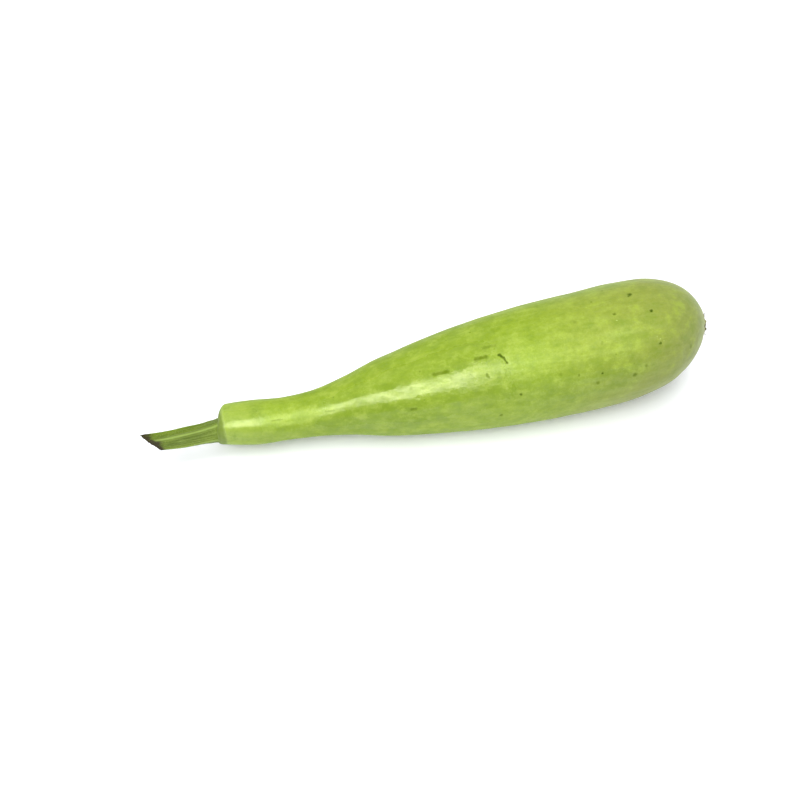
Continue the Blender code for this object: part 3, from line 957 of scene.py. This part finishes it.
def with_spots(paint, value, place, spots):
    """The greater of a value and what the spots give."""
    for distance, angle, radius, strength in spots:
        spot = paint.spot(place, on_skin(distance, angle), radius / 1000)
        value = paint.maths("MAXIMUM", value, paint.times(spot, strength))
    return value


def skin_marks(paint):
    """How strong the pale marks are, and how strong the dark ones: freckles, spots and scratches."""
    wobble = paint.node("TexNoise", {"Vector": paint.place, "Scale": BEND_SCALE}, output=1)
    wobble = paint.node("VectorMath", {0: wobble, 1: (0.5, 0.5, 0.5)}, operation="SUBTRACT")
    bent = paint.node("VectorMath", {0: wobble, 1: (BEND, BEND, BEND), 2: paint.place},
                      operation="MULTIPLY_ADD")
    pale = with_spots(paint, 0.0, bent, PALE_SPOTS)
    freckles = paint.ramp(paint.cells(FRECKLE_SCALE), 0.075, 0.025, 0.0, 0.38)
    dark = with_spots(paint, freckles, bent, DARK_SPOTS)
    for start, end, radius, strength in SCRATCHES:
        line = paint.line(bent, on_skin(*start), on_skin(*end), radius / 1000)
        dark = paint.maths("MAXIMUM", dark, paint.times(line, strength))
    return pale, dark


def skin_roughness(paint, x, clouds, mottle, shoulder):
    """Glossy on the front body, duller on the neck, toward the scar and where the skin is seen aslant."""
    rough = paint.ramp(mottle, 0.3, 0.75, 0.09, 0.17)
    rough = paint.maths("ADD", rough, paint.times(shoulder, 0.5))
    rough = paint.maths("ADD", rough, paint.ramp(x, *DULL_BODY_X, 0.0, 0.26))
    dull_neck = paint.times(paint.ramp(x, *DULL_NECK_X), paint.ramp(x, *DULL_NECK_END_X))
    rough = paint.maths("ADD", rough, paint.times(dull_neck, 0.27))
    rough = paint.maths("ADD", rough, paint.ramp(clouds, 0.38, 0.62, -0.02, 0.08))
    facing = paint.node("LayerWeight", {"Blend": 0.5}, output="Facing")
    return paint.ramp(facing, 0.10, 0.55, rough, 0.62)


def skin_material():
    paint = Paint("gourd_skin_fine")
    x = paint.node("SeparateXYZ", {0: paint.place}, output="X")
    clouds = paint.noise(0.016, 3.0, 0.6, 0.35)
    mottle = paint.noise(0.0042, 4.0, 0.78, 0.85)
    streaks = paint.noise(0.0016, 3.0, 0.6, 0.10)
    grain = paint.noise(0.0011, 3.0, 0.7)
    base = skin_ground(paint, x, clouds, mottle, streaks)

    # The stem's green runs over the neck's rounded end, and ends ragged on it.
    from_end = paint.frayed(paint.maths("SUBTRACT", x, float(ROW_SHIFT[0])), mottle, GREEN_FRAY)
    shoulder = paint.ramp(from_end, *GREEN_LENGTH)
    from_axis = paint.apart(paint.drawn_out(0.0), STEM_FOOT * (0, 1, 1))
    green = paint.times(shoulder, paint.times(paint.ramp(from_axis, *GREEN_RADIUS), 0.9))
    base = paint.mix(paint.times(shoulder, 0.3), base, FOOT_PALE)
    base = paint.mix(green, base, STEM_GREEN)

    stipple = paint.ramp(paint.cells(STIPPLE_SCALE), 0.25, 0.08, 0.0, 0.16)
    base = paint.mix(paint.times(stipple, mottle), base, PALE_SPECK)
    pale, dark = skin_marks(paint)
    base = paint.mix(pale, base, PALE_SPECK)
    base = paint.mix(dark, base, SPECK)

    relief = paint.bump(mottle, 0.00013)
    relief = paint.bump(streaks, 0.00010, relief)
    relief = paint.bump(grain, 0.00007, relief)
    # The wax is uneven, in fine lengthwise streaks and grains, and thin on the dark marks.
    waxed = paint.ramp(paint.maths("ADD", streaks, grain), 0.80, 1.20, 0.70, 1.28)
    paint.surface({"Base Color": base,
                   "Roughness": skin_roughness(paint, x, clouds, mottle, shoulder),
                   "Normal": relief,
                   "Specular IOR Level": paint.times(paint.ramp(dark, 0.05, 0.45, 0.32, 0.06), waxed),
                   "Subsurface Weight": 0.12,
                   "Subsurface Radius": FLESH_RADIUS,
                   "Subsurface Scale": 0.003,
                   "Sheen Weight": paint.ramp(x, *BLOOM_X, 0.04, 0.22),
                   "Sheen Roughness": 0.45,
                   "Sheen Tint": SHEEN_TINT})
    return paint.material


def stem_material():
    """Green with pale streaks and a painted highlight along its crests, brown at the dried tip, and tan on
    the cut face.
    """
    paint = Paint("stem_skin_fine")
    streaks = paint.noise(0.0008, 3.0, 0.6, 0.12)
    clouds = paint.noise(0.004, 3.0, 0.6, 0.4)
    grain = paint.noise(0.00035, 2.0)
    crest, dried, foot = paint.kept("crest"), paint.kept("dried"), paint.kept("foot")
    face, inward = paint.kept("face"), paint.kept("inward")

    base = paint.mix(paint.ramp(clouds, 0.35, 0.65), STEM_DARK, STEM_GREEN)
    base = paint.mix(paint.ramp(streaks, 0.5, 0.75, 0.0, 0.35), base, STEM_STREAK_AND_CREST_HIGHLIGHT)
    # The crests are painted paler: a painted highlight along the ribs.
    base = paint.mix(paint.ramp(crest, 0.15, 0.7, 0.0, 0.9), base, STEM_STREAK_AND_CREST_HIGHLIGHT)
    base = paint.mix(paint.ramp(foot, 0.35, 0.95, 0.0, 0.10), base, FOOT_PALE)
    brown = paint.frayed(dried, clouds, 0.22)
    base = paint.mix(paint.ramp(brown, 0.30, 0.62), base, STEM_BROWN)
    pith = paint.mix(paint.ramp(paint.noise(0.0007, 3.0), 0.35, 0.65), CUT_TAN, CUT_PITH)
    pith = paint.mix(paint.ramp(inward, 0.35, 0.05), pith, CUT_PITH)
    base = paint.mix(paint.ramp(paint.frayed(face, clouds, 0.2), 0.4, 0.8), base, pith)
    paint.surface({"Base Color": base,
                   "Roughness": paint.ramp(dried, 0.2, 0.8, 0.5, 0.85),
                   "Normal": paint.bump(grain, 0.00005, paint.bump(streaks, 0.00010)),
                   "Subsurface Weight": 0.08,
                   "Subsurface Radius": FLESH_RADIUS,
                   "Subsurface Scale": 0.0015,
                   "Specular IOR Level": 0.18,
                   "Sheen Weight": 0.04,
                   "Sheen Roughness": 0.5,
                   "Sheen Tint": SHEEN_TINT})
    return paint.material


def scar_material():
    """Olive-brown cork with tan patches, darkest on its ragged rim, and with grey standing tips."""
    paint = Paint("dried_blossom_fine")
    clouds = paint.noise(0.0018, 4.0, 0.65)
    patches = paint.noise(0.0034, 3.0, 0.6)
    fibres = paint.noise(0.0005, 3.0, 0.6, 0.25)
    base = paint.mix(paint.ramp(clouds, 0.35, 0.6), CORK_DARK, CORK_BROWN)
    base = paint.mix(paint.ramp(fibres, 0.48, 0.75, 0.0, 0.6), base, CORK_TAN)
    base = paint.mix(paint.ramp(patches, 0.47, 0.60, 0.0, 0.8), base, CORK_TAN)
    beside = paint.node("VectorMath", {0: paint.place, 1: SCAR_MIDDLE.tolist()}, operation="SUBTRACT")
    reach = paint.node("VectorMath", {0: beside}, output=1, operation="LENGTH")
    rim = paint.times(paint.ramp(reach, 0.0032, 0.0044), paint.ramp(reach, 0.0062, 0.0050))
    base = paint.mix(paint.times(rim, paint.ramp(clouds, 0.62, 0.42, 0.1, 0.85)), base, CORK_DARK)
    above = paint.node("VectorMath", {0: beside, 1: SCAR_AXES[0].tolist()}, output=1, operation="DOT_PRODUCT")
    base = paint.mix(paint.ramp(above, 0.0012, 0.0018), base, CORK_GREY)
    paint.surface({"Base Color": base,
                   "Roughness": paint.ramp(clouds, 0.3, 0.7, 0.78, 0.95),
                   "Normal": paint.bump(fibres, 0.00012)})
    return paint.material


def down_material():
    paint = Paint("down")
    paint.surface({"Base Color": paint.mix(paint.noise(0.003, 2.0), DOWN_DARK, DOWN_LIGHT),
                   "Roughness": 0.6})
    return paint.material


# The studio.

# Lamps that look straight down: name, middle, width, depth, turn in degrees, radiance, and whether soft light
# and highlights come from it. The window's clear edges show in the gourd's highlight.
LAMPS = (("ceiling", (-0.25, -0.20, 1.80), 2.4, 2.4, 0.0, 4.1, True, False),
         ("window_soft", (-0.62, -1.18, 1.10), 0.75, 1.36, -4.3, 4.7, True, False),
         ("window", (-0.575, -1.175, 1.05), 0.84, 1.43, -4.3, 13.0, False, True),
         ("side", (-0.09, -1.75, 1.05), 0.20, 3.00, -4.3, 7.0, False, True),
         ("far_side", (0.50, -1.50, 1.05), 0.94, 2.50, -4.3, 3.0, False, True))
GLOSS_TINT = (0.97, 1.0, 0.64)
ROOM_RADIANCE = 1.0
FLOOR_HALF = 3.0
FLOOR_DARK = (0.86, 0.87, 0.90, 1)
FLOOR_LIGHT = (0.89, 0.90, 0.93, 1)
# The floor's glow near and far from the gourd, and the distances between which it grows. Near the gourd the
# glow is painted light that lightens the gourd's contact shadow, and its bluish tint cools that shadow.
SHADOW_FILL_GLOW = 0.21
FAR_GLOW = 1.15
GLOW_DISTANCES = (0.45, 1.3)
GLOW_TINT = (0.90, 0.93, 1.0, 1)


def make_lamp(name, middle, width, depth, turn, radiance, soft, glossy):
    data = bpy.data.lights.new(name, "AREA")
    data.shape = "RECTANGLE"
    data.size, data.size_y = width, depth
    data.energy = radiance * math.pi * width * depth
    data.color = GLOSS_TINT if glossy else (1, 1, 1)
    lamp = bpy.data.objects.new(name, data)
    lamp.location = middle
    lamp.rotation_euler.z = math.radians(turn)
    lamp.visible_diffuse = soft
    lamp.visible_glossy = glossy
    bpy.context.scene.collection.objects.link(lamp)


def make_studio():
    """A white room that only shows in reflections and beyond the floor, and the lamps."""
    world = bpy.data.worlds.new("studio")
    world.use_nodes = True
    background = world.node_tree.nodes["Background"]
    background.inputs["Color"].default_value = (1, 1, 1, 1)
    background.inputs["Strength"].default_value = ROOM_RADIANCE
    world.cycles_visibility.diffuse = False
    bpy.context.scene.world = world
    for lamp in LAMPS:
        make_lamp(*lamp)


def floor_material():
    """Pale and dull, and glowing though it is no lamp: near the gourd the glow is painted light that lightens
    its contact shadow, and past the lamps' reach it glows about like the room, so that no horizon shows.
    """
    paint = Paint("pale_floor")
    from_middle = paint.node("VectorMath", {0: paint.place}, output=1, operation="LENGTH")
    paint.surface({"Base Color": paint.mix(paint.noise(0.2, 2.0), FLOOR_DARK, FLOOR_LIGHT),
                   # The emission is painted light: faint near the gourd, where it lightens the contact
                   # shadow, and like the room's glow far off.
                   "Emission Color": GLOW_TINT,
                   "Emission Strength": paint.ramp(from_middle, *GLOW_DISTANCES, SHADOW_FILL_GLOW, FAR_GLOW),
                   "Roughness": 0.7,
                   "Specular IOR Level": 0.2})
    return paint.material


def make_floor():
    half = FLOOR_HALF
    corners = [(-half, -half, 0), (half, -half, 0), (half, half, 0), (-half, half, 0)]
    data = bpy.data.meshes.new("floor")
    data.from_pydata(corners, [], [(0, 1, 2, 3)])
    data.materials.append(floor_material())
    floor = bpy.data.objects.new("floor", data)
    bpy.context.scene.collection.objects.link(floor)
    return floor


def make_camera():
    level = math.cos(CAMERA_ELEVATION)
    back = Vector((math.sin(CAMERA_AZIMUTH) * level, -math.cos(CAMERA_AZIMUTH) * level,
                   math.sin(CAMERA_ELEVATION)))
    data = bpy.data.cameras.new("camera")
    data.lens = CAMERA_LENS
    data.sensor_width = CAMERA_SENSOR
    data.clip_start = CAMERA_NEAR
    camera = bpy.data.objects.new("camera", data)
    camera.location = CAMERA_TARGET + back * CAMERA_DISTANCE
    camera.rotation_euler = back.to_track_quat("Z", "Y").to_euler()
    bpy.context.scene.collection.objects.link(camera)
    bpy.context.scene.camera = camera


def finish_piece(thing, material, replaced=None):
    thing.data.materials.clear()
    thing.data.materials.append(material)
    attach(thing, "root")
    if replaced:
        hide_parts(replaced)


def main():
    bpy.context.scene.view_settings.view_transform = "Standard"
    make_camera()
    make_studio()
    make_floor()
    finish_piece(make_fruit(np.random.default_rng(SEED)), skin_material(), "fruit")
    stem = make_stem(np.random.default_rng(SEED + 1))
    finish_piece(stem, stem_material(), "stem")
    finish_piece(make_scar(np.random.default_rng(SEED + 2)), scar_material(), "blossom_scar")
    finish_piece(make_stem_down(stem, np.random.default_rng(SEED + 3)), down_material())


main()
